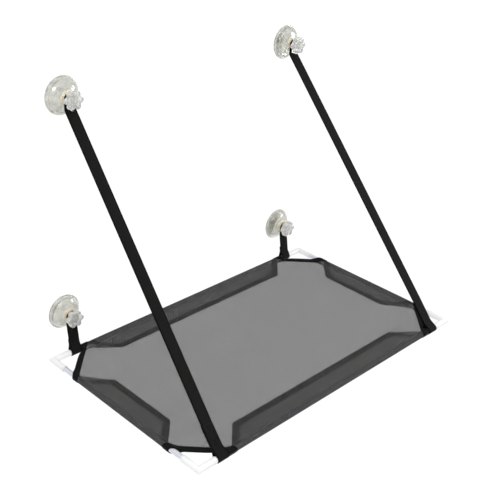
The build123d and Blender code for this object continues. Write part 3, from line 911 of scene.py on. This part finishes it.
strap_thread = {}
for (word, kind), (strap, top, along, face) in straps.items():
    x = STRAP_X * (-1 if word == "left" else 1)
    seams = strap_seams(top, along, face, x, SEWN[kind], crossed=kind == "long")
    strap_thread[word, kind] = stitches(f"{word}_{kind}_strap_stitches", seams)

# %% [markdown]
# ## Cups, studs, eyelets and knobs
#
# Cups and eyelets are turned shapes, so a profile of radius and height is enough. The stud adds
# a thread: its radius also depends on the angle. The knob is turned too, but its outline has six
# lobes, so its radius is a mix of a circle and the lobed outline.

# %% Cups
HOLLOW_RADIUS, HOLLOW_HEIGHT = 0.0245, 0.003
DOME_MIDDLE, DOME_REACH, NECK_FOOT = (0.0075, 0.0016), (0.0178, 0.0121), 0.0107
RING_HEIGHT, NECK_START = 0.0002, 0.0135
CUP_SIDES, EYELET_SIDES = 112, 64


def cup_profile():
    """(radius, height above the glass) from the middle of the hollow, round the lip, up the dome
    and the neck, and down inside the neck to the pocket of the stud's head. The hollow is
    h sqrt(1 - (r/R)^2), and the dome a quarter of an ellipse with fine rings on it."""
    radii = np.array([0, 0.004, 0.009, 0.014, 0.018, 0.021, 0.023, 0.0241])
    hollow = np.stack([radii, HOLLOW_HEIGHT * np.sqrt(1 - (radii / HOLLOW_RADIUS) ** 2)], -1)
    lip = soften([(0.0247, 0.0), (0.0272, 0.0), (0.0275, 0.0004), (0.0275, 0.0010),
                  (0.0270, 0.0013), (0.0258, 0.0013)])
    t = np.linspace(0.04, 1, 61) * math.pi / 2
    rings = RING_HEIGHT * np.sin(4 * t) ** 2 * np.cos(14 * t)
    dome = np.stack([DOME_MIDDLE[0] + (DOME_REACH[0] + rings) * np.cos(t),
                     DOME_MIDDLE[1] + (DOME_REACH[1] + rings) * np.sin(t)], -1)
    neck = soften([(0.0105, NECK_START), (0.0094, 0.0139), (0.0091, 0.0148), (0.0091, 0.0174),
                   (0.0086, 0.0180), (0.0045, 0.0180), (0.0040, 0.0176), (0.0040, 0.0122)])
    pocket = [(0.0040, 0.0116), (0.0056, 0.0116), (0.0056, 0.0089), (0.0030, 0.0089),
              (0, 0.0089)]
    return np.concatenate([hollow, lip, dome[dome[:, 0] > NECK_FOOT], neck, pocket])


cups = {name: turned(name + "_clear_cup", cup_profile(), place, CUP_SIDES, sharp_above=50)
        for name, place in CUPS.items()}
for cup in cups.values():
    # the faces of the thick neck, past NECK_START from the glass, take the cup's second finish
    middles = np.empty(len(cup.data.polygons) * 3)
    cup.data.polygons.foreach_get("center", middles)
    cup.data.materials.append(CLEAR_SOFT)
    cup.data.materials.append(AMBER_NECK)
    in_neck = (middles[1::3] < -NECK_START).astype(np.int32)
    cup.data.polygons.foreach_set("material_index", in_neck)
print("cups:", len(cups), "of", len(cups["upper_left"].data.polygons), "faces")


# %% Studs and eyelets
THREAD_PITCH, THREAD_DEPTH = 0.00125, 0.00055
NECK_TOP, THREAD_START, THREAD_END, STUD_TOP = 0.0180, 0.0185, 0.0283, 0.0288
FADE_START, FADE_LENGTH, TIP_RADIUS = 0.0190, 0.001, 0.0031


def make_stud(name, centre, sides=48):
    """Radius at angle t and height h: the shank's, less a thread depth times a rounded wave of
    h / pitch - t / (2 pi). The head is plain."""
    head = np.array([(0, 0.0090), (0.0050, 0.0090), (0.0055, 0.0093), (0.0055, 0.0112),
                     (0.0051, 0.0115), (0.0039, 0.0115)])
    h = np.linspace(THREAD_START, THREAD_END, 100)[:, None]
    turns = full_turn(sides) / (2 * np.pi)
    wave = (0.5 + 0.5 * np.cos(2 * np.pi * (h / THREAD_PITCH - turns))) ** 1.5
    fade = np.clip((h - FADE_START) / FADE_LENGTH, 0, 1)
    shank = STUD_RADIUS - THREAD_DEPTH * (1 - wave) * fade
    plain = np.ones((1, sides))
    radius = np.concatenate([head[:, :1] * plain, STUD_RADIUS * plain, shank,
                             TIP_RADIUS * plain, 0 * plain])
    height = np.concatenate([head[:, 1:], [[NECK_TOP]], h, [[STUD_TOP], [STUD_TOP]]])
    return make_turned(name, radius, height, centre, sides, sharp_above=55)


EYELET = soften([(0.0046, 0.0181), (0.0071, 0.0181), (0.0075, 0.0183), (0.0071, 0.0186),
                 (0.0051, 0.0186), (0.0051, 0.0202), (0.0071, 0.0202), (0.0075, 0.0204),
                 (0.0071, 0.0207), (0.0050, 0.0207), (0.0043, 0.0203), (0.0043, 0.0185),
                 (0.0046, 0.0181)], 1)
studs = {name: make_stud(name + "_threaded_stud", place) for name, place in CUPS.items()}
eyelets = {name: turned(name + "_plated_eyelet", EYELET, place, EYELET_SIDES)
           for name, place in CUPS.items()}
print("studs and eyelets:", len(studs), len(eyelets))


# %% Knobs
KNOB_BODY = 0.0105


def lobed(t, lobe=0.0042, reach=0.0098, lobes=6, sharpness=26):
    """Outline of a six-lobed knob at angle t: the smooth larger one of a circle, KNOB_BODY, and
    of the nearest lobe, a circle whose middle is reach away:
    reach cos a + sqrt(lobe^2 - (reach sin a)^2)."""
    a = (t + np.pi / lobes) % (2 * np.pi / lobes) - np.pi / lobes
    inside = np.clip(lobe ** 2 - (reach * np.sin(a)) ** 2, 0, None)
    outer = np.where(inside > 0, reach * np.cos(a) + np.sqrt(inside), 0)
    return (KNOB_BODY ** sharpness + outer ** sharpness) ** (1 / sharpness)


def make_knob(name, centre, sides=144):
    """Row i has the radius r_i + k_i (outline(t) - KNOB_BODY): k is 0 on the hub and in the dish
    and 1 on the rim, and h_i is its height above the glass."""
    bore = [(0, 0, 0.0291), (0.0038, 0, 0.0291), (0.00405, 0, 0.0289), (0.00405, 0, 0.0230),
            (0.00405, 0, 0.02100)]
    rim = soften([(0.0043, 0, 0.02080), (0.0074, 0, 0.02080), (0.0080, 0, 0.0211),
                  (0.0080, 0, 0.0228), (0.0084, 0.1, 0.02332), (0.0096, 0.9, 0.02332),
                  (KNOB_BODY, 1, 0.0240), (KNOB_BODY, 1, 0.0270), (KNOB_BODY, 1, 0.0308),
                  (0.0103, 1, 0.0322), (0.0092, 0.8, 0.03278), (0.0070, 0, 0.03278),
                  (0.0065, 0, 0.0322), (0.0062, 0, 0.0312), (0.0050, 0, 0.0312)], 3)
    dish = [(0.0030, 0, 0.0312), (0.0012, 0, 0.0312), (0, 0, 0.0312)]
    r, k, height = (column[:, None] for column in np.concatenate([bore, rim, dish]).T)
    radius = r + k * (lobed(full_turn(sides)) - KNOB_BODY)
    return make_turned(name, radius, height, centre, sides, sharp_above=60)


knobs = {name: make_knob(name + "_lobed_knob", place) for name, place in CUPS.items()}
print("knobs:", len(knobs))

# %% [markdown]
# ## Joining the pieces to the model
#
# Each new piece takes its finish, says which solid it stands for and which body it moves with.
# The long straps cross the fold, so they join no body, and their placing is baked into their
# points.

# %% Finishes, bodies and replaced solids
def dress(piece, material, body, slot, *replaced):
    """Give a piece its finish, unless it has one, and its body and replaced solid. The slot is
    not used.
    """
    if not piece.data.materials:
        piece.data.materials.append(material)
    if replaced:
        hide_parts(*replaced)
    if body:
        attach(piece, body)


dress(bed_panel, MESH_CLOTH, "bed_frame", "black_mesh", "bed_panel")
for name, sleeve in sleeves.items():
    dress(sleeve, MESH_CLOTH, "bed_frame", "black_mesh", name + "_sleeve")
for corner, binding in bindings.items():
    dress(binding, TAPE, "bed_frame", "binding_tape", NAMES[corner] + "_binding")
for thread in (hem_thread, tape_thread):
    dress(thread, THREAD, "bed_frame", "webbing")
for (word, kind), (strap, top, along, face) in straps.items():
    crosses_fold = kind == "long"
    dress(strap, WEBBING, None if crosses_fold else "glass_side", "webbing",
          f"{word}_{kind}_strap")
    dress(strap_thread[word, kind], THREAD, "bed_frame" if crosses_fold else "glass_side",
          "webbing")
    if crosses_fold:
        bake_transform(strap)
for name in CUPS:
    dress(cups[name], CLEAR_SOFT, "glass_side", "clear_soft_plastic", name + "_cup")
    dress(studs[name], STUD_PLASTIC, "glass_side", "natural_plastic", name + "_stud")
    dress(eyelets[name], NICKEL, "glass_side", "nickel_plate", name + "_eyelet")
    dress(knobs[name], CLEAR_HARD, name + "_knob", "clear_hard_plastic", name + "_knob")


def refinish(names, material):
    """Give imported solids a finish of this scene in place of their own."""
    for name in names:
        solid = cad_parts[name]
        solid.data.materials.clear()
        solid.data.materials.append(material)


refinish([corner + "_elbow" for corner in NAMES.values()], WHITE_PLASTIC)
refinish(["front_tube", "window_tube"], TUBE_ACROSS)
refinish(["left_tube", "right_tube"], TUBE_ALONG)

# %% [markdown]
# ## Floor and light
#
# The perch hangs well above a plain pale floor, so its shadow is faint and far away. A sky that
# is bright overhead and greyer near the horizon gives the clear parts something to bend. Looked
# at directly, as background, the same sky is plain white like the floor.

# %% Floor
FLOOR_Z, FLOOR_HALF = -1.1, 200.0
floor_points = [(x * FLOOR_HALF, y * FLOOR_HALF, FLOOR_Z)
                for x, y in ((-1, -1), (1, -1), (1, 1), (-1, 1))]
floor = make_mesh("floor", floor_points, np.array([[0, 1, 2, 3]]))
floor_material, tree, shader = new_material("pale_floor")
place = node(tree, "ShaderNodeTexCoord").outputs["Object"]
cloud = node(tree, "ShaderNodeTexNoise", {"Vector": place, "Scale": 3.0}).outputs[0]
tree.links.new(tone(tree, cloud, (0.93,) * 3, (0.95,) * 3), shader.inputs["Base Color"])
shader.inputs["Roughness"].default_value = 1.0
shader.inputs["Specular IOR Level"].default_value = 0.0
floor.data.materials.append(floor_material)

# %% Sky
HORIZON, OVERHEAD, FULL_WHITE_AT = (0.38, 0.39, 0.40, 1), (1, 1, 1, 1), 0.65
scene = bpy.context.scene
scene.view_settings.view_transform = "Standard"
world = bpy.data.worlds.new("studio")
scene.world = world
world.use_nodes = True
tree = world.node_tree
sky = tree.nodes["Background"]
direction = node(tree, "ShaderNodeTexCoord").outputs["Generated"]
upward = node(tree, "ShaderNodeSeparateXYZ", {0: direction}).outputs["Z"]
seen = node(tree, "ShaderNodeLightPath").outputs["Is Camera Ray"]
ramp = node(tree, "ShaderNodeValToRGB", {0: maths(tree, "MAXIMUM", upward, seen)})
low, high = ramp.color_ramp.elements
low.position, low.color = 0.0, HORIZON
high.position, high.color = FULL_WHITE_AT, OVERHEAD
tree.links.new(ramp.outputs[0], sky.inputs["Color"])
sky.inputs["Strength"].default_value = 1.0

# %% Sun and soft boxes
SUN_ENERGY, SUN_SPREAD = 0.7, math.radians(50)
SUN_TILT = (math.radians(32), math.radians(-20), 0)
BOXES = {"soft_box": (10, 0.5, (-1.1, -1.0, 1.3)), "side_box": (4, 0.3, (1.13, -0.64, 0.47))}
BOX_AIM = Vector((0, -0.1, 0.2))


def add_light(name, kind, energy):
    """A light and the object that carries it."""
    light = bpy.data.lights.new(name, kind)
    light.energy = energy
    carrier = bpy.data.objects.new(name, light)
    scene.collection.objects.link(carrier)
    return light, carrier


sun, sun_object = add_light("soft_sun", "SUN", SUN_ENERGY)
sun.angle, sun_object.rotation_euler = SUN_SPREAD, SUN_TILT
for name, (energy, size, place) in BOXES.items():
    # each box lights the cups with a small bright patch, as a window or a lamp does
    box, box_object = add_light(name, "AREA", energy)
    box.size, box_object.location = size, place
    box_object.rotation_euler = (BOX_AIM - Vector(place)).to_track_quat("-Z", "Y").to_euler()
print("sky, sun and soft boxes ready")
